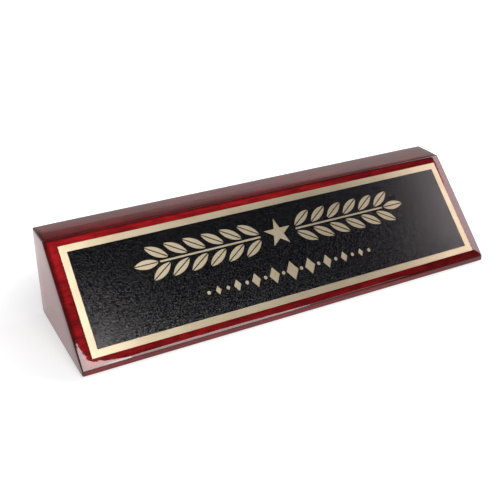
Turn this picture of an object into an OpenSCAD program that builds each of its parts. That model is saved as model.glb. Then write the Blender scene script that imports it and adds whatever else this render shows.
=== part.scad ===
// Desk name wedge: a glued-up wooden wedge with rosewood faces under a thick gloss coat,
// a felt base, and a brass plate with a black face taped to the slope.
// X runs along the wedge, +Y to its back and +Z up. The origin is under its middle, on the desk.

/* [Body] */
// Length of the wedge, end to end
body_l = 214.5; // [210:0.5:280]
// Depth of the wedge, front to back
body_d = 59; // [56:0.5:70]
// Height of the wood, without its felt
body_h = 43.8; // [42:0.2:54]
// Depth of the flat top
top_d = 16.5; // [14:0.5:18]
// Height of the upright strip below the slope
lip_h = 2.8; // [2.4:0.1:4]
// Radius of the polished edges
edge_r = 1; // [0.6:0.1:1]

/* [Build-up] */
// Thickness of the veneer and the gloss coat on it
skin_t = 1; // [1:0.1:1.6]
// Thickness of the lower core board
lower_board_t = 25; // [18:1:30]
// Thickness of the felt under the base
felt_t = 0.8; // [0.6:0.1:2]
// Distance from the edges of the base to the felt
felt_inset = 2.2; // [2:0.1:6]
// Corner radius of the felt
felt_r = 3; // [1:0.5:6]

/* [Plate] */
// Length of the brass plate, a standard 8 inch blank
plate_l = 203.2; // [180:0.1:203.2]
// Width of the brass plate, a standard 2 inch blank
plate_w = 50.8; // [46:0.1:50.8]
// Thickness of the brass plate
plate_t = 0.5; // [0.4:0.1:1]
// Width of the brass border left round the black face
border_w = 3.25; // [2:0.05:5]
// Thickness of the black face
coat_t = 0.1; // [0.08:0.01:0.2]

/* [Tape] */
// Width of each strip of foam tape
tape_w = 12; // [6:1:15]
// Thickness of the foam tape
tape_t = 0.4; // [0.3:0.1:1.2]
// Distance from the plate's edges to the tape
tape_inset = 4; // [3:0.5:8]

/* [Engraving] */
// Leaf pairs on each laurel branch
leaf_pairs = 6; // [4:1:6]
// Length of one laurel leaf
leaf_l = 12; // [9:0.5:12]
// Width of one laurel leaf
leaf_w = 4.4; // [3:0.1:5]
// Radius of the star between the branches
star_r = 7.4; // [5:0.1:7.6]
// Height of the middle lozenge in the lower row
lozenge_h = 9.6; // [6:0.1:10]

/* [Hidden] */

wood = [0.45, 0.05, 0.05];
mdf = [0.68, 0.53, 0.38];
brass = [0.80, 0.66, 0.42];

// The end profile as [y, z] corners, clockwise from the foot of the front, and its edges in the same order.
profile = [
  [-body_d / 2, felt_t],
  [-body_d / 2, felt_t + lip_h],
  [body_d / 2 - top_d, felt_t + body_h],
  [body_d / 2, felt_t + body_h],
  [body_d / 2, felt_t]
];
FRONT_EDGE = 0;
SLOPE = 1;
TOP = 2;
REAR = 3;
sides = len(profile);

function wrap(i) = (i + sides) % sides;
// Outward normal of the edge that starts at corner i
function normal(i) = let (d = profile[wrap(i + 1)] - profile[i]) [-d.y, d.x] / norm(d);
// Corner i once the edges before and after it have moved inwards by a and b
function moved_corner(i, a, b) =
  let (n = normal(wrap(i - 1)), m = normal(i), det = n.x * m.y - n.y * m.x)
  profile[i] + [b * n.y - a * m.y, a * m.x - b * n.x] / det;
// How far the skin takes edge i inwards: the base has none
function skin(i) = i == sides - 1 ? 0 : skin_t;

core_profile = [for (i = [0:sides - 1]) moved_corner(i, skin(wrap(i - 1)), skin(i))];
rounding_centres = [for (i = [0:sides - 1]) moved_corner(i, edge_r, edge_r)];

slope_run = profile[TOP] - profile[SLOPE];
slope_angle = atan2(slope_run.y, slope_run.x);
slope_middle = (profile[TOP] + profile[SLOPE]) / 2;

core_l = body_l - 2 * skin_t;
felt_l = body_l - 2 * felt_inset;
felt_d = body_d - 2 * felt_inset;
tape_l = plate_l - 2 * tape_inset;
face_l = plate_l - 2 * border_w;
face_w = plate_w - 2 * border_w;

// The engraving stands in two rows on the face: a laurel with a star, and a row of lozenges.
laurel_y = 8.2;
lozenge_y = -11.2;
leaf_angle = 33;
leaf_pitch = 9.2;
vein_w = 0.45;
stem_w = 0.9;
stem_start = 9.5;
lozenge_pitch = 9.6;
lozenges_each_side = 4;
lozenge_shrink = 0.14;
dot_r = 0.9;

// Turns an outline drawn in [y, z] into a bar that runs along X, centred on the origin.
module along_x(length) {
  rotate([90, 0, 90])
    linear_extrude(length, center = true)
      children();
}

// Puts children on the sloped face: local X along the wedge, Y up the slope, Z out of it.
module on_slope(lift) {
  translate([0, slope_middle.x, slope_middle.y])
    rotate([slope_angle, 0, 0])
      translate([0, 0, lift])
        children();
}

// The polished wedge as a whole, with every edge rounded.
module rounded_wedge() {
  hull()
    for (side = [-1, 1], c = rounding_centres)
      translate([side * (body_l / 2 - edge_r), c.x, c.y])
        sphere(edge_r, $fn = 32);
}

module core() {
  along_x(core_l)
    polygon(core_profile);
}

module lower_core_board() {
  color(mdf)
    intersection() {
      core();
      translate([0, 0, felt_t + lower_board_t / 2])
        cube([body_l, body_d, lower_board_t], center = true);
    }
}

module upper_core_board() {
  color(mdf)
    intersection() {
      core();
      translate([0, 0, felt_t + lower_board_t + body_h / 2])
        cube([body_l, body_d, body_h], center = true);
    }
}

// One long face of the skin, mitred to the faces beside it.
module long_veneer(edge) {
  color(wood)
    intersection() {
      rounded_wedge();
      along_x(core_l)
        polygon([
          profile[edge], profile[wrap(edge + 1)],
          core_profile[wrap(edge + 1)], core_profile[edge]
        ]);
    }
}

// The skin over one end, which covers the ends of the long faces.
module end_veneer(side) {
  color(wood)
    intersection() {
      rounded_wedge();
      translate([side * (body_l - skin_t) / 2, 0, 0])
        along_x(skin_t)
          polygon(profile);
    }
}

module base_felt() {
  color([0.08, 0.08, 0.09])
    linear_extrude(felt_t) {
      square([felt_l - 2 * felt_r, felt_d], center = true);
      square([felt_l, felt_d - 2 * felt_r], center = true);
      for (x = [-1, 1], y = [-1, 1])
        translate([x * (felt_l / 2 - felt_r), y * (felt_d / 2 - felt_r)])
          circle(felt_r, $fn = 48);
    }
}

module tape_strip(side) {
  color([0.9, 0.9, 0.87])
    on_slope(tape_t / 2)
      translate([0, side * ((plate_w - tape_w) / 2 - tape_inset), 0])
        cube([tape_l, tape_w, tape_t], center = true);
}

module brass_plate() {
  color(brass)
    on_slope(tape_t + plate_t / 2)
      cube([plate_l, plate_w, plate_t], center = true);
}

// One leaf along +X from the origin: two arcs that meet in points, split by its vein.
module leaf() {
  arc_r = (pow(leaf_l, 2) + pow(leaf_w, 2)) / (4 * leaf_w);
  difference() {
    intersection_for (side = [-1, 1])
      translate([leaf_l / 2, side * (arc_r - leaf_w / 2)])
        circle(arc_r, $fn = 180);
    square([2 * leaf_l, vein_w], center = true);
  }
}

// A branch along +X: pairs of leaves on a stem, and one more leaf at its tip.
module branch() {
  stem_l = leaf_pairs * leaf_pitch - leaf_pitch / 2;
  translate([stem_start, -stem_w / 2])
    square([stem_l, stem_w]);
  for (i = [0:leaf_pairs - 1], side = [-1, 1])
    translate([stem_start + i * leaf_pitch, side * (stem_w + vein_w)])
      rotate(side * leaf_angle)
        leaf();
  translate([stem_start + stem_l + vein_w, 0])
    leaf();
}

// A five-pointed star, one point up.
module star() {
  inner_share = sin(18) / sin(54);
  polygon([
    for (i = [0:9])
      let (r = i % 2 == 0 ? star_r : star_r * inner_share, a = 90 + 36 * i)
      r * [cos(a), sin(a)]
  ]);
}

// Lozenges that grow smaller from the middle outwards, with a dot between each two.
module lozenge_row() {
  for (i = [-lozenges_each_side:lozenges_each_side]) {
    h = lozenge_h * (1 - lozenge_shrink * abs(i));
    translate([i * lozenge_pitch, 0])
      polygon([[-h / 3, 0], [0, h / 2], [h / 3, 0], [0, -h / 2]]);
  }
  for (i = [0:lozenges_each_side], side = [-1, 1])
    translate([side * (i + 0.5) * lozenge_pitch, 0])
      circle(dot_r, $fn = 32);
}

module engraving() {
  translate([0, laurel_y]) {
    star();
    branch();
    mirror([1, 0])
      branch();
  }
  translate([0, lozenge_y])
    lozenge_row();
}

// The black face is a thin coat on the plate, cut through to the brass where it is engraved.
module black_face() {
  color([0.06, 0.06, 0.07])
    on_slope(tape_t + plate_t)
      linear_extrude(coat_t)
        difference() {
          square([face_l, face_w], center = true);
          engraving();
        }
}

lower_core_board();
upper_core_board();
long_veneer(SLOPE);  // front_veneer
long_veneer(TOP);  // top_veneer
long_veneer(REAR);  // rear_veneer
long_veneer(FRONT_EDGE);  // front_edge_strip
end_veneer(-1);  // left_end_veneer
end_veneer(1);  // right_end_veneer
base_felt();
tape_strip(1);  // upper_tape_strip
tape_strip(-1);  // lower_tape_strip
brass_plate();
black_face();
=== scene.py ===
"""The looks of the desk name wedge: rosewood under a thick gloss coat, a satin brass plate with a
grained black face, and a felt base, on a white table in soft studio light."""

import math

import bmesh
import bpy
import numpy as np
from mathutils import Matrix, Vector


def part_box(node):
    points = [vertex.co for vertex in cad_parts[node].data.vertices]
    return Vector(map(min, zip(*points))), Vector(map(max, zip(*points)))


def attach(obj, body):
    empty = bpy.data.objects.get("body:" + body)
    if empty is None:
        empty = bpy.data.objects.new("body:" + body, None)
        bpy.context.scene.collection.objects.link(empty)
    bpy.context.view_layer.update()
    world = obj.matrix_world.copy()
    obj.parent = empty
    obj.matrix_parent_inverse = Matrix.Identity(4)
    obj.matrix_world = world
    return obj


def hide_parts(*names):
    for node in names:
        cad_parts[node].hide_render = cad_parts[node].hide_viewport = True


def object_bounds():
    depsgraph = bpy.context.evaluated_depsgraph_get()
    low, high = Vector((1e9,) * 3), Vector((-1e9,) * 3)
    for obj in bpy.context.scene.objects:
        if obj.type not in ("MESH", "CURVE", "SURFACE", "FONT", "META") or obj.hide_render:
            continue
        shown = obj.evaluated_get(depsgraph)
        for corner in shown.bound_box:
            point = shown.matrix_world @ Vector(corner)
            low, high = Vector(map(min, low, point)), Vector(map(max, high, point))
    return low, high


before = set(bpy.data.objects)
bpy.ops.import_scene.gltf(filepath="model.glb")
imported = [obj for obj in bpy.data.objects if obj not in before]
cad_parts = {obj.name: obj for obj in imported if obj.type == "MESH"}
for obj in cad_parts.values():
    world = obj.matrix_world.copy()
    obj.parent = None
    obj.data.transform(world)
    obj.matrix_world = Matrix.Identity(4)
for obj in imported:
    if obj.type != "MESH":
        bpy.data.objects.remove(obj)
cad_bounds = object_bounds()
MM = 0.001

# ---------------------------------------------------------------- dimensions, in metres

LEFT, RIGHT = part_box("left_end_veneer"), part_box("right_end_veneer")
BODY_LOW, BODY_HIGH = LEFT[0], RIGHT[1]
LIP_H = 2.8 * MM
TOP_D = 16.5 * MM
EDGE_R = 1.0 * MM  # radius of the polished edges, and the thickness of each rosewood face

SKIN_X = BODY_HIGH.x - EDGE_R  # where the long faces stop and the end faces begin

# The lacquer falls away towards every edge: a wide shallow roll and a tight one.
ROLLS = [(0.09 * MM, 3.5 * MM), (0.09 * MM, 0.8 * MM)]  # depth at the edge, reach
TOP_CROWN = 0.09 * MM  # the narrow top is a little crowned from polishing
FACE_FALL_LIMIT = 0.25 * MM  # the most the lacquer falls for the two long edges of a face
FALL_LIMIT = 0.3 * MM  # and the most it falls in all
LEFT_BAND = 0.5  # edge distances count half at the left end, so the dark band there is twice as wide

# The profile as (y, z) corners, clockwise from the foot of the front, as in the CAD source.
PROFILE = [
    (BODY_LOW.y, BODY_LOW.z),
    (BODY_LOW.y, BODY_LOW.z + LIP_H),
    (BODY_HIGH.y - TOP_D, BODY_HIGH.z),
    (BODY_HIGH.y, BODY_HIGH.z),
    (BODY_HIGH.y, BODY_LOW.z),
]
SIDES = len(PROFILE)
FRONT_EDGE, SLOPE, TOP, REAR, BASE = range(SIDES)

SLOPE_FOOT, SLOPE_HEAD = np.array(PROFILE[SLOPE]), np.array(PROFILE[TOP])
SLOPE_ANGLE = math.atan2(*(SLOPE_HEAD - SLOPE_FOOT)[::-1])
SLOPE_MIDDLE = (SLOPE_FOOT + SLOPE_HEAD) / 2
ON_SLOPE = Matrix.Translation((0, *SLOPE_MIDDLE)) @ Matrix.Rotation(SLOPE_ANGLE, 4, "X")

# How the polished faces are meshed.
FINEST = 0.12 * MM  # the step next to an edge
STEP_GROWTH = 1.55  # each step from an edge is this much longer than the one before
ARC_STEPS = 12  # round each edge
END_RINGS, LAST_RING = 22, 0.02  # rings on an end face, and the size of the last against the first
HIDDEN = 9  # the edge distance, in mm, given to vertices inside the block


# ---------------------------------------------------------------- shader helpers

MIX_A, MIX_B, MIX_RESULT = 6, 7, 2  # the Mix node's sockets for colours


class Graph:
    """The node tree of a material or a world, built by adding one node at a time."""

    def __init__(self, owner):
        owner.use_nodes = True
        self.tree = owner.node_tree
        self.tree.nodes.clear()

    def add(self, kind, inputs=None, **settings):
        """Adds a node. inputs maps socket names or numbers to values or to sockets to link."""
        node = self.tree.nodes.new(kind)
        for name, value in settings.items():
            setattr(node, name, value)
        for key, value in (inputs or {}).items():
            socket = node.inputs[key]
            if isinstance(value, bpy.types.NodeSocket):
                self.tree.links.new(value, socket)
            else:
                socket.default_value = value
        return node

    def math(self, operation, a, b):
        return self.add("ShaderNodeMath", {0: a, 1: b}, operation=operation).outputs[0]

    def vector(self, operation, *inputs):
        """A Vector Math node."""
        return self.add("ShaderNodeVectorMath", dict(enumerate(inputs)), operation=operation)

    def mix(self, factor, a, b):
        """Mixes two colours."""
        sockets = {"Factor": factor, MIX_A: a, MIX_B: b}
        return self.add("ShaderNodeMix", sockets, data_type="RGBA").outputs[MIX_RESULT]

    def remap(self, value, low, high, to_low=0.0, to_high=1.0, curve="SMOOTHSTEP"):
        """Takes low..high to to_low..to_high and stops at both ends."""
        ends = {"Value": value, "From Min": low, "From Max": high, "To Min": to_low, "To Max": to_high}
        return self.add("ShaderNodeMapRange", ends, interpolation_type=curve).outputs["Result"]

    def millimetres(self, turn=(0, 0, 0), shift=(0, 0, 0)):
        """The piece's own coordinates in millimetres, turned and then shifted."""
        metres = self.add("ShaderNodeTexCoord").outputs["Object"]
        change = {"Vector": metres, "Scale": (1 / MM,) * 3, "Rotation": turn, "Location": shift}
        return self.add("ShaderNodeMapping", change).outputs["Vector"]

    def noise(self, spot, size, detail=2.0, rough=0.5, distortion=0.0):
        """Noise whose features measure about size, in millimetres: a number or (x, y, z)."""
        sizes = size if isinstance(size, tuple) else (size,) * 3
        scaled = self.vector("MULTIPLY", spot, tuple(1 / s for s in sizes)).outputs["Vector"]
        wanted = {
            "Vector": scaled, "Scale": 1.0, "Detail": detail, "Roughness": rough, "Distortion": distortion,
        }
        return self.add("ShaderNodeTexNoise", wanted).outputs["Fac"]

    def bump(self, height, depth):
        """A normal from a height of 0..1, depth metres deep."""
        wanted = {"Height": height, "Strength": 1.0, "Distance": depth}
        return self.add("ShaderNodeBump", wanted).outputs["Normal"]

    def finish(self, shader, kind="ShaderNodeOutputMaterial"):
        self.add(kind, {"Surface": shader.outputs[0]})


def principled(name, build):
    """A material. build(graph) adds its textures and returns the Principled BSDF's inputs."""
    material = bpy.data.materials.new(name)
    graph = Graph(material)
    graph.finish(graph.add("ShaderNodeBsdfPrincipled", build(graph)))
    return material


# ---------------------------------------------------------------- materials

RED_BRIGHT = (0.415, 0.0120, 0.0150, 1)
RED_MID = (0.305, 0.0088, 0.0108, 1)
RED_DARK = (0.100, 0.0037, 0.0045, 1)
RED_PORE_STAIN_AND_EDGE_SHADE = (0.028, 0.0022, 0.0026, 1)  # the stain in the pores; along the edges, stain gathered there and partly painted shade
BLACK = (0, 0, 0, 1)


def even_stain_and_shade(stain_and_shade):
    """The red darkened equally all over the piece, partly as stain and partly as painted shade: 1 is the
    clear red, and 0 is black.
    """
    return lambda g: stain_and_shade


def faded_stain_and_shade(**spans):
    """A darkening of the red that changes evenly along each axis named, from the block's low side to its
    high side: partly stain, and partly painted shade where the light falls off.
    """

    def build(g):
        spot = g.add("ShaderNodeSeparateXYZ", {0: g.millimetres()})
        stain_and_shade = 1.0
        for axis, (low, high) in spans.items():
            start, stop = (getattr(corner, axis.lower()) / MM for corner in (BODY_LOW, BODY_HIGH))
            share = g.remap(spot.outputs[axis], start, stop, low, high, curve="LINEAR")
            stain_and_shade = g.math("MULTIPLY", stain_and_shade, share)
        return stain_and_shade

    return build


def rosewood(name, turn, shift, stain_and_shade):
    """Red rosewood veneer under gloss lacquer. Its grain runs along X once turned, and shift picks the
    part of the grain that the piece shows."""

    def build(g):
        spot = g.millimetres(turn, shift)
        figure = g.noise(spot, (70, 9, 9), detail=3, rough=0.55, distortion=0.8)
        patch = g.noise(spot, (24, 6, 6), detail=2, rough=0.55, distortion=0.6)
        mottle = g.noise(spot, (6, 2.2, 2.2), detail=2, rough=0.6, distortion=0.5)
        fibre = g.noise(spot, (16, 0.42, 0.42), detail=3, rough=0.65)
        pores = g.noise(spot, (9, 0.22, 0.22), detail=1)
        body = g.mix(g.remap(figure, 0.30, 0.70), RED_MID, RED_BRIGHT)
        body = g.mix(g.remap(patch, 0.42, 0.66, 0.0, 0.40), body, RED_DARK)
        body = g.mix(g.remap(mottle, 0.40, 0.66, 0.0, 0.55), body, RED_DARK)
        body = g.mix(g.remap(fibre, 0.50, 0.74, 0.0, 0.45), body, RED_DARK)
        body = g.mix(g.remap(pores, 0.62, 0.76, 0.0, 0.50), body, RED_PORE_STAIN_AND_EDGE_SHADE)
        # stain_and_shade darkens the red towards black: partly stain, partly painted shade.
        body = g.mix(stain_and_shade(g), BLACK, body)
        # Darker within about a millimetre of each edge: stain gathered there, and partly painted shade
        # along the rounded edges.
        edge = g.add("ShaderNodeAttribute", attribute_name="edge_mm").outputs["Fac"]
        body = g.mix(g.remap(edge, 0.1, 1.1, 0.75, 0.0), body, RED_PORE_STAIN_AND_EDGE_SHADE)
        ripple = g.bump(g.noise(g.millimetres(), 3.4, detail=1.5), 0.012 * MM)
        return {
            "Base Color": body,
            "Roughness": 0.42,
            "Specular IOR Level": 0.0,
            "Normal": ripple,
            "Coat Weight": 1.0,
            "Coat Roughness": 0.034,
            "Coat IOR": 1.5,
            "Coat Normal": ripple,
        }

    return principled(name, build)


def satin_brass():
    """Pale brass brushed along X, so that a reflection in it spreads up and down the slope."""

    def build(g):
        spot = g.millimetres((-SLOPE_ANGLE, 0, 0))
        brushed = g.noise(spot, (26, 0.10, 0.10), detail=2)
        cloud = g.noise(spot, (14, 9, 9), detail=2)
        up_slope = (0, math.cos(SLOPE_ANGLE), math.sin(SLOPE_ANGLE))
        return {
            "Base Color": g.mix(
                g.remap(cloud, 0.3, 0.7), (0.59, 0.500, 0.345, 1), (0.65, 0.560, 0.400, 1),
            ),
            "Metallic": 1.0,
            "Roughness": g.remap(brushed, 0.3, 0.7, 0.44, 0.50),
            "Anisotropic": 0.92,
            "Tangent": g.add("ShaderNodeCombineXYZ", dict(enumerate(up_slope))).outputs[0],
            "Normal": g.bump(brushed, 0.0012 * MM),
        }

    return principled("satin_brass", build)


def black_coat():
    """A black coat with a fine grain: small bumps, paler flecks, and spots of more and less gloss."""

    def build(g):
        spot = g.millimetres((-SLOPE_ANGLE, 0, 0))
        grain = g.noise(spot, 0.52, detail=1)
        fleck = g.remap(g.noise(spot, 0.52, detail=0), 0.54, 0.66)
        polish = g.noise(g.millimetres(shift=(50, 50, 50)), 0.62, detail=0)
        return {
            "Base Color": g.mix(fleck, (0.0002, 0.0002, 0.0003, 1), (0.0060, 0.0058, 0.0088, 1)),
            "Roughness": g.remap(polish, 0.35, 0.65, 0.08, 0.24),
            "Specular IOR Level": 0.66,
            "Normal": g.bump(grain, 0.055 * MM),
        }

    return principled("black_coat", build)


def black_felt():
    def build(g):
        fluff = g.noise(g.millimetres(), 0.35, detail=4, rough=0.7, distortion=1.5)
        return {
            "Base Color": g.mix(fluff, (0.006, 0.006, 0.007, 1), (0.030, 0.030, 0.034, 1)),
            "Roughness": 0.95,
            "Specular IOR Level": 0.1,
            "Sheen Weight": 0.35,
            "Sheen Roughness": 0.4,
            "Normal": g.bump(fluff, 0.12 * MM),
        }

    return principled("black_felt", build)


def fibreboard():
    def build(g):
        spot = g.millimetres()
        chips = g.noise(spot, (1.6, 1.6, 0.5), detail=4, rough=0.7)
        dust = g.noise(spot, 0.25)
        colour = g.mix(g.remap(chips, 0.3, 0.7), (0.20, 0.105, 0.050, 1), (0.33, 0.195, 0.105, 1))
        colour = g.mix(g.remap(dust, 0.5, 0.8, 0.0, 0.4), colour, (0.12, 0.06, 0.03, 1))
        return {
            "Base Color": colour,
            "Roughness": 0.85,
            "Specular IOR Level": 0.25,
            "Normal": g.bump(chips, 0.05 * MM),
        }

    return principled("fibreboard", build)


def foam_tape():
    def build(g):
        cells = g.noise(g.millimetres(), 0.22)
        colour = g.mix(cells, (0.62, 0.62, 0.58, 1), (0.78, 0.78, 0.74, 1))
        return {"Base Color": colour, "Roughness": 0.7, "Normal": g.bump(cells, 0.04 * MM)}

    return principled("foam_tape", build)


# ---------------------------------------------------------------- the rosewood faces

def outward(step):
    """The outward normal of a profile edge that runs along step."""
    return np.array([-step[1], step[0]]) / np.linalg.norm(step)


def inset_corners():
    """The profile's corners, moved inwards from both sides by the edge radius."""
    found = []
    for i in range(SIDES):
        before, here, after = (np.array(PROFILE[(i + k) % SIDES]) for k in (-1, 0, 1))
        n, m = outward(here - before), outward(after - here)
        found.append(here - EDGE_R * (n + m) / (1 + n @ m))
    return found


def graded(length):
    """Distances from 0 to length, close together at both ends."""
    half, step = [0.0], FINEST
    while half[-1] + step < length / 2:
        half.append(half[-1] + step)
        step *= STEP_GROWTH
    half = np.array(half)
    return np.unique(np.concatenate([half, [length / 2], length - half]))


def rolled(distance):
    """How far the lacquer has fallen away at a distance from one edge."""
    return sum(depth * np.exp(-distance / reach) for depth, reach in ROLLS)


CORNERS = inset_corners()
NORMALS = [outward(np.array(PROFILE[(i + 1) % SIDES]) - np.array(PROFILE[i])) for i in range(SIDES)]


def flat_fall(i, along, length):
    """Fall of the lacquer on profile edge i for its two long edges. The foot's edges have none."""
    if i == BASE:
        return 0.0
    fall = 0.0
    if i != FRONT_EDGE:
        fall += rolled(along)
    if i != REAR:
        fall += rolled(length - along)
    if i == TOP:
        fall += TOP_CROWN * (2 * along / length - 1) ** 2
    return min(fall, FACE_FALL_LIMIT)


def outline():
    """Once round the profile: rows of (centre y, centre z, normal y, normal z, fall, edge distance), and
    where each profile edge starts and stops in it, from the middle of one corner's arc to the next."""
    rows, spans = [], []
    for i in range(SIDES):
        following = (i + 1) % SIDES
        start, stop = CORNERS[i], CORNERS[following]
        length = np.linalg.norm(stop - start)
        for along in graded(length):
            centre = start + (stop - start) * along / length
            nearest = min(along, length - along)
            rows.append((*centre, *NORMALS[i], flat_fall(i, along, length), nearest))
        last_fall = flat_fall(i, length, length)
        next_fall = flat_fall(following, 0.0, np.linalg.norm(CORNERS[(i + 2) % SIDES] - stop))
        turn = math.acos(np.clip(NORMALS[i] @ NORMALS[following], -1, 1))
        for k in range(1, ARC_STEPS):
            share = k / ARC_STEPS
            if k == ARC_STEPS // 2:
                spans.append(len(rows))
            a, b = math.sin((1 - share) * turn), math.sin(share * turn)
            normal = (a * NORMALS[i] + b * NORMALS[following]) / math.sin(turn)
            rows.append((*stop, *normal, last_fall + (next_fall - last_fall) * share, 0.0))
    return np.array(rows), spans


OUTLINE, ARC_MIDDLES = outline()


class Shell:
    """A mesh in the making: vertices with their distances from an edge in mm, faces, and which of the
    faces are on the smooth outside."""

    def __init__(self):
        self.points, self.faces, self.outside, self.edge = [], [], [], []

    def row(self, points, edge):
        """Adds a row of vertices with their edge distances, and gives their numbers."""
        first = len(self.points)
        self.points += [tuple(p) for p in points]
        self.edge += list(edge)
        return list(range(first, len(self.points)))

    def strip(self, a, b, outside, closed=False):
        """Quads between two rows of the same length."""
        count = len(a)
        for i in range(count if closed else count - 1):
            j = (i + 1) % count
            self.face([a[i], a[j], b[j], b[i]], outside)

    def face(self, numbers, outside=False):
        self.faces.append(numbers)
        self.outside.append(outside)


def foot_row(corner):
    """The outline row where the flat base meets the rounding at one foot: FRONT_EDGE or BASE."""
    good = [
        k for k, row in enumerate(OUTLINE)
        if abs(row[3] + 1) < 1e-9 and np.hypot(*(row[:2] - CORNERS[corner])) < 1e-9
    ]
    return good[-1] if corner == FRONT_EDGE else good[0]


def foot_fade(normal_z):
    """1 on the polished faces, and 0 where the foot's rounding meets the flat base."""
    return min(1.0, 1.0 + normal_z)


def long_face(i):
    """The rosewood on profile edge i, between the two end faces."""
    first = ARC_MIDDLES[i - 1] if i != FRONT_EDGE else foot_row(FRONT_EDGE)
    last = ARC_MIDDLES[i] if i != REAR else foot_row(BASE)
    if first < last:
        rows = OUTLINE[first:last + 1]
    else:
        rows = np.concatenate([OUTLINE[first:], OUTLINE[:last + 1]])
    inner = np.array([CORNERS[i], CORNERS[(i + 1) % SIDES]])
    if i == FRONT_EDGE:
        inner[0][1] = BODY_LOW.z
    if i == REAR:
        inner[1][1] = BODY_LOW.z
    shell = Shell()
    previous = None
    for x in graded(2 * SKIN_X) - SKIN_X:
        from_end = SKIN_X - abs(x)
        counted = from_end * (LEFT_BAND if x < 0 else 1.0)
        out, edge = [], []
        for cy, cz, ny, nz, fall, nearest in rows:
            radius = EDGE_R - min(fall + rolled(from_end) * foot_fade(nz), FALL_LIMIT)
            out.append((x, cy + ny * radius, cz + nz * radius))
            edge.append(min(nearest, counted) / MM)
        a = shell.row(out, edge)
        ring = a + shell.row([(x, *inner[1]), (x, *inner[0])], [HIDDEN, HIDDEN])
        if previous:
            shell.strip(previous[:len(a)], a, True)
            for k in range(len(a) - 1, len(ring)):
                j = (k + 1) % len(ring)
                shell.face([previous[k], previous[j], ring[j], ring[k]])
        else:
            shell.face(ring[::-1])
        previous = ring
    shell.face(previous)
    return shell


def end_face(side):
    """The rosewood on one end, which is 1 for the right and -1 for the left: a nearly flat face, and
    roundings to the five faces beside it."""
    shell = Shell()
    inset = OUTLINE[:, :2]

    def clearances(points):
        """How far the points are inside each profile edge."""
        return [(corner - points) @ normal for corner, normal in zip(CORNERS, NORMALS)]

    def end_fall(points):
        total = np.zeros(len(points))
        for i, clearance in enumerate(clearances(points)):
            if i != BASE:
                total += rolled(clearance)
        return np.minimum(total, FALL_LIMIT)

    rim_fall = end_fall(inset)
    rings = []
    for k in range(ARC_STEPS + 1):
        angle = math.pi / 2 * k / ARC_STEPS
        out = []
        for row, rim in zip(OUTLINE, rim_fall):
            cy, cz, ny, nz, fall, _ = row
            beside = min(fall + rolled(0.0) * foot_fade(nz), FALL_LIMIT)
            radius = EDGE_R - (beside + (rim - beside) * k / ARC_STEPS)
            out.append((
                side * (SKIN_X + radius * math.sin(angle)),
                cy + ny * radius * math.cos(angle),
                cz + nz * radius * math.cos(angle),
            ))
        rings.append(shell.row(out, [0.0] * len(out)))
    middle = np.mean(CORNERS, axis=0)
    for size in np.geomspace(1, LAST_RING, END_RINGS)[1:]:
        points = inset + (middle - inset) * (1 - size)
        xs = side * (BODY_HIGH.x - end_fall(points))
        edge = np.min(clearances(points), axis=0) / MM
        rings.append(shell.row(np.column_stack([xs, points]), edge))
    for a, b in zip(rings, rings[1:]):
        shell.strip(*((a, b) if side > 0 else (b, a)), True, closed=True)
    shell.face(rings[-1] if side > 0 else rings[-1][::-1], True)
    shell.face(rings[0][::-1] if side > 0 else rings[0])
    return shell


def mesh_object(name, shell, normals):
    """A piece from a shell. Outside faces take the normals worked out over all shells together."""
    mesh = bpy.data.meshes.new(name)
    mesh.from_pydata(shell.points, [], shell.faces)
    mesh.attributes.new("edge_mm", "FLOAT", "POINT").data.foreach_set("value", shell.edge)
    mesh.polygons.foreach_set("use_smooth", [True] * len(shell.faces))
    custom = []
    for polygon, outside in zip(mesh.polygons, shell.outside):
        flat = tuple(polygon.normal)
        for v in polygon.vertices:
            custom.append(normals[key(shell.points[v])] if outside else flat)
    mesh.normals_split_custom_set(custom)
    piece = bpy.data.objects.new(name, mesh)
    bpy.context.scene.collection.objects.link(piece)
    return piece


def key(point):
    """The same for points that coincide, to a ten-thousandth of a millimetre."""
    return tuple(round(c * 1e7) for c in point)


def shared_normals(shells):
    """The smooth normal at each outside vertex, over the faces of every shell that meets there."""
    total = {}
    for shell in shells:
        points = np.array(shell.points)
        for numbers, outside in zip(shell.faces, shell.outside):
            if not outside:
                continue
            ring = points[numbers]
            area = np.zeros(3)
            for a, b in zip(ring, np.roll(ring, -1, axis=0)):
                area += np.cross(a, b)
            for v in numbers:
                k = key(shell.points[v])
                total[k] = total.get(k, np.zeros(3)) + area
    return {k: tuple(n / np.linalg.norm(n)) for k, n in total.items()}


def hand_over(piece, node, material):
    """Gives a piece its material, and puts it in the frame in its CAD node's place."""
    piece.data.materials.append(material)
    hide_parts(node)
    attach(piece, "root")


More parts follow.
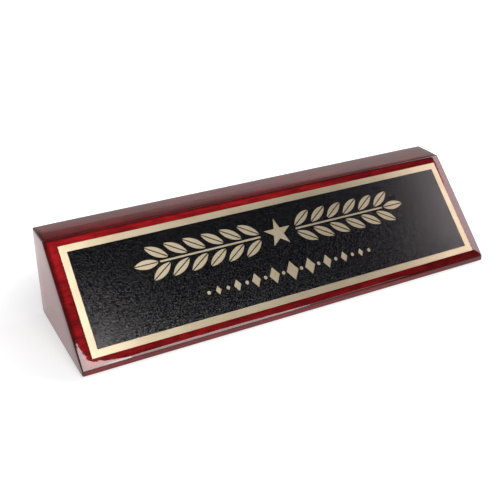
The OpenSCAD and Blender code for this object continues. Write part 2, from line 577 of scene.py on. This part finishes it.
def rosewood_pieces():
    """The six veneers. Each finish is the turn and the shift of its grain, and how far its red is
    darkened: partly stain, and partly painted shade, which makes the top, back and ends darker than the
    front and fades the red along the front, top, lip and left end.
    """
    quarter = math.pi / 2
    shells = {
        "front_veneer": long_face(SLOPE),
        "top_veneer": long_face(TOP),
        "rear_veneer": long_face(REAR),
        "front_edge_strip": long_face(FRONT_EDGE),
        "left_end_veneer": end_face(-1),
        "right_end_veneer": end_face(1),
    }
    finishes = {
        "front_veneer": ((-SLOPE_ANGLE, 0, 0), (13, 40, 0), faded_stain_and_shade(X=(1.0, 0.38), Z=(0.56, 1.0))),
        "top_veneer": ((0, 0, 0), (160, 90, 20), faded_stain_and_shade(X=(0.56, 0.34))),
        "rear_veneer": ((quarter, 0, 0), (420, 10, 60), even_stain_and_shade(0.5)),
        "front_edge_strip": ((0, 0, 0), (900, 7, 3), faded_stain_and_shade(X=(1.0, 0.66))),
        "left_end_veneer": ((0, 0, quarter), (60, 700, 30), faded_stain_and_shade(Y=(0.40, 0.76))),
        "right_end_veneer": ((0, 0, quarter), (230, 810, 50), even_stain_and_shade(0.45)),
    }
    normals = shared_normals(shells.values())
    for node, shell in shells.items():
        piece = mesh_object(f"polished_{node}", shell, normals)
        hand_over(piece, node, rosewood(f"rosewood_{node}", *finishes[node]))


# ---------------------------------------------------------------- plate and felt

PLATE_BEVEL = 0.13 * MM


def slope_box(node):
    """A CAD node's lowest and highest corners in the slope's own axes."""
    back = ON_SLOPE.inverted()
    points = np.array([back @ v.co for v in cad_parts[node].data.vertices])
    return Vector(points.min(0)), Vector(points.max(0))


def bevelled_plate():
    """The brass blank: sheared edges, just eased, and a flat satin face."""
    low, high = slope_box("brass_plate")
    mesh = bpy.data.meshes.new("brass_plate_blank")
    form = bmesh.new()
    bmesh.ops.create_cube(form, size=1)
    bmesh.ops.scale(form, vec=high - low, verts=form.verts)
    bmesh.ops.translate(form, vec=(low + high) / 2, verts=form.verts)
    bmesh.ops.bevel(
        form, geom=form.edges[:], offset=PLATE_BEVEL, segments=3, profile=0.5, affect="EDGES",
    )
    form.transform(ON_SLOPE)
    form.to_mesh(mesh)
    form.free()
    mesh.polygons.foreach_set("use_smooth", [True] * len(mesh.polygons))
    piece = bpy.data.objects.new("brass_plate_blank", mesh)
    bpy.context.scene.collection.objects.link(piece)
    piece.modifiers.new("flat_faces", "WEIGHTED_NORMAL").weight = 100
    hand_over(piece, "brass_plate", satin_brass())


FELT_CORNER = 3 * MM
CORNER_STEPS = 8
RIM_STEP = 2.5 * MM
RIM_WAVER = 0.03 * MM  # how far the cut edge wanders
DENT = 0.05 * MM  # the deepest dents of the underside
# The section of the felt's edge: how far it draws in, in mm, at each share of the thickness.
FELT_EDGE = [(0.35, 0.0), (0.12, 0.10), (0.0, 0.35), (0.0, 0.65), (0.10, 0.92), (0.30, 1.0)]
FELT_RINGS = (0.04, 0.12, 0.3, 0.55, 0.8, 0.96)  # shares of the way from the rim to the middle


def densify(loop, step):
    """A closed loop of points with more points along its long sides."""
    found = []
    for a, b in zip(loop, np.roll(loop, -1, axis=0)):
        parts = max(1, int(np.linalg.norm(b - a) / step))
        found += [a + (b - a) * k / parts for k in range(parts)]
    return np.array(found)


def felt_rim(half_x, half_y):
    """The felt's outline: a rectangle with round corners, anticlockwise from above."""
    rim = []
    for sx, sy, start in ((1, 1, 0), (-1, 1, 90), (-1, -1, 180), (1, -1, 270)):
        for k in range(CORNER_STEPS + 1):
            angle = math.radians(start + 90 * k / CORNER_STEPS)
            rim.append((
                sx * (half_x - FELT_CORNER) + FELT_CORNER * math.cos(angle),
                sy * (half_y - FELT_CORNER) + FELT_CORNER * math.sin(angle),
            ))
    return densify(np.array(rim), RIM_STEP)


def felt_base():
    """The felt: a thin pad with round corners, soft edges and a slightly uneven underside."""
    low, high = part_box("base_felt")
    half_x, half_y, thick = high.x, high.y, high.z - low.z
    rim = felt_rim(half_x, half_y)
    count = len(rim)
    inward = rim / np.array([half_x, half_y])
    random = np.random.default_rng(7)
    shell = Shell()
    rings = []
    for pull, height in FELT_EDGE:
        waver = RIM_WAVER * random.standard_normal(count)
        shift = np.clip(pull * MM + waver, 0, None)[:, None] * inward
        out = np.column_stack([rim - shift, np.full(count, low.z + thick * height)])
        rings.append(shell.row(out, [0] * count))
    for a, b in zip(rings, rings[1:]):
        shell.strip(a, b, True, closed=True)
    for outer, z, is_under in ((rings[0], low.z, True), (rings[-1], high.z, False)):
        previous = outer
        base = np.array([shell.points[k][:2] for k in outer])
        for share in FELT_RINGS:
            dent = DENT * random.random(count) if is_under else np.zeros(count)
            ring = shell.row(np.column_stack([base * (1 - share), z + dent]), [0] * count)
            shell.strip(*((ring, previous) if is_under else (previous, ring)), True, closed=True)
            previous = ring
        shell.face(previous[::-1] if is_under else previous, True)
    piece = mesh_object("felt_pad", shell, shared_normals([shell]))
    hand_over(piece, "base_felt", black_felt())


# ---------------------------------------------------------------- stage

MIDDLE = (cad_bounds[0] + cad_bounds[1]) / 2
WHITE = (1, 1, 1)
CAMERA_LENS = 59.64  # millimetres, on a 36 mm sensor
CAMERA_AZIMUTH, CAMERA_ELEVATION, CAMERA_DISTANCE = -28.16, 27.88, 397.2 * MM
CAMERA_AIM = MIDDLE + Vector((-11.0, 4.7, -1.9)) * MM
TABLE_HALF = 4.0


def direction(azimuth, elevation):
    """The way to a place seen from the object: azimuth 0 is in front and 90 to its right."""
    a, e = math.radians(azimuth), math.radians(elevation)
    return Vector((math.sin(a) * math.cos(e), -math.cos(a) * math.cos(e), math.sin(e)))


def camera():
    data = bpy.data.cameras.new("camera")
    data.sensor_width = 36
    data.lens = CAMERA_LENS
    data.clip_start = 0.01
    seen = bpy.data.objects.new("camera", data)
    bpy.context.scene.collection.objects.link(seen)
    back = direction(CAMERA_AZIMUTH, CAMERA_ELEVATION)
    seen.location = CAMERA_AIM + back * CAMERA_DISTANCE
    seen.rotation_mode = "QUATERNION"
    seen.rotation_quaternion = (-back).to_track_quat("-Z", "Y")
    bpy.context.scene.camera = seen


def softbox(
    name, azimuth, elevation, distance, width, height, radiance, tilt=0, colour=WHITE, shape="RECTANGLE",
):
    """A flat light that faces the object. radiance is what a mirror would show of it, and tilt turns it
    clockwise as the object sees it, in degrees."""
    data = bpy.data.lights.new(name, "AREA")
    data.color = colour
    data.shape = shape
    data.size, data.size_y = width, height
    area = width * height * (1 if shape == "RECTANGLE" else math.pi / 4)
    data.energy = radiance * math.pi * area
    lamp = bpy.data.objects.new(name, data)
    bpy.context.scene.collection.objects.link(lamp)
    away = direction(azimuth, elevation)
    lamp.location = MIDDLE + away * distance
    lamp.rotation_mode = "QUATERNION"
    turn = Matrix.Rotation(math.radians(tilt), 4, "Z").to_quaternion()
    lamp.rotation_quaternion = away.to_track_quat("Z", "Y") @ turn


def table():
    """A plain white table that glows as pale as the room. The glow is fainter near the block, which is
    painted shade around it on top of its real shadow, and full behind it, which paints light over the
    block's shadow there."""
    mesh = bpy.data.meshes.new("table")
    corners = [(sx * TABLE_HALF, sy * TABLE_HALF, 0) for sx, sy in ((-1, -1), (1, -1), (1, 1), (-1, 1))]
    mesh.from_pydata(corners, [], [(0, 1, 2, 3)])
    top = bpy.data.objects.new("table", mesh)
    bpy.context.scene.collection.objects.link(top)
    material = bpy.data.materials.new("white_table")
    g = Graph(material)
    diffuse = g.add("ShaderNodeBsdfDiffuse", {"Color": (0.53, 0.55, 0.555, 1)})
    spot = g.add("ShaderNodeTexCoord").outputs["Object"]
    footprint = (BODY_HIGH.x, BODY_HIGH.y, 1)
    past = g.vector("SUBTRACT", g.vector("ABSOLUTE", spot).outputs["Vector"], footprint).outputs["Vector"]
    outside = g.vector("MAXIMUM", past, (0, 0, 0)).outputs["Vector"]
    away = g.vector("LENGTH", outside).outputs["Value"]
    behind = g.add("ShaderNodeSeparateXYZ", {0: spot}).outputs["Y"]
    # Painted shade: the glow dims near the block, but not behind it.
    glow_and_painted_shade = g.math("MAXIMUM", g.remap(away, 0, 0.09, 0.58, 1.05), g.remap(behind, 0.03, 0.12))
    glow = g.add("ShaderNodeEmission", {"Color": (1, 1, 1, 1), "Strength": glow_and_painted_shade})
    g.finish(g.add("ShaderNodeAddShader", {0: diffuse.outputs[0], 1: glow.outputs[0]}))
    mesh.materials.append(material)


def surroundings():
    """A pale room up to about the camera's height, and a dark ceiling over it. Each remap is between two
    heights on the unit sphere."""
    world = bpy.data.worlds.new("room")
    bpy.context.scene.world = world
    g = Graph(world)
    way = g.add("ShaderNodeTexCoord").outputs["Generated"]
    up = g.add("ShaderNodeSeparateXYZ", {0: way}).outputs["Z"]
    colour = g.mix(g.remap(up, 0.05, 0.20), (1.05, 1.05, 1.05, 1), (0.92, 0.92, 0.92, 1))
    colour = g.mix(g.remap(up, 0.395, 0.47), colour, (0.30, 0.30, 0.31, 1))
    colour = g.mix(g.remap(up, 0.45, 0.62), colour, (0.045, 0.046, 0.05, 1))
    g.finish(g.add("ShaderNodeBackground", {"Color": colour, "Strength": 1.0}), "ShaderNodeOutputWorld")


bpy.context.scene.view_settings.view_transform = "Standard"
camera()
table()
surroundings()
softbox("front_dish", -11, 40, 0.51, 0.255, 0.255, 10.2, colour=(1.06, 1, 0.98), shape="DISK")
softbox("front_strip", 20, 40, 0.56, 0.245, 0.08, 6.8, tilt=-15, shape="ELLIPSE")
softbox("strip_tail", 39, 35, 0.56, 0.16, 0.035, 1.7, tilt=-15, shape="ELLIPSE")
softbox("right_bank", 86, 39, 0.682, 0.54, 0.16, 5.3, tilt=20, colour=(1.14, 1, 1.03))

rosewood_pieces()
bevelled_plate()
felt_base()
for node, make in {
    "black_face": black_coat,
    "lower_core_board": fibreboard,
    "upper_core_board": fibreboard,
    "upper_tape_strip": foam_tape,
    "lower_tape_strip": foam_tape,
}.items():
    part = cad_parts[node]
    part.data.materials.clear()
    part.data.materials.append(make())
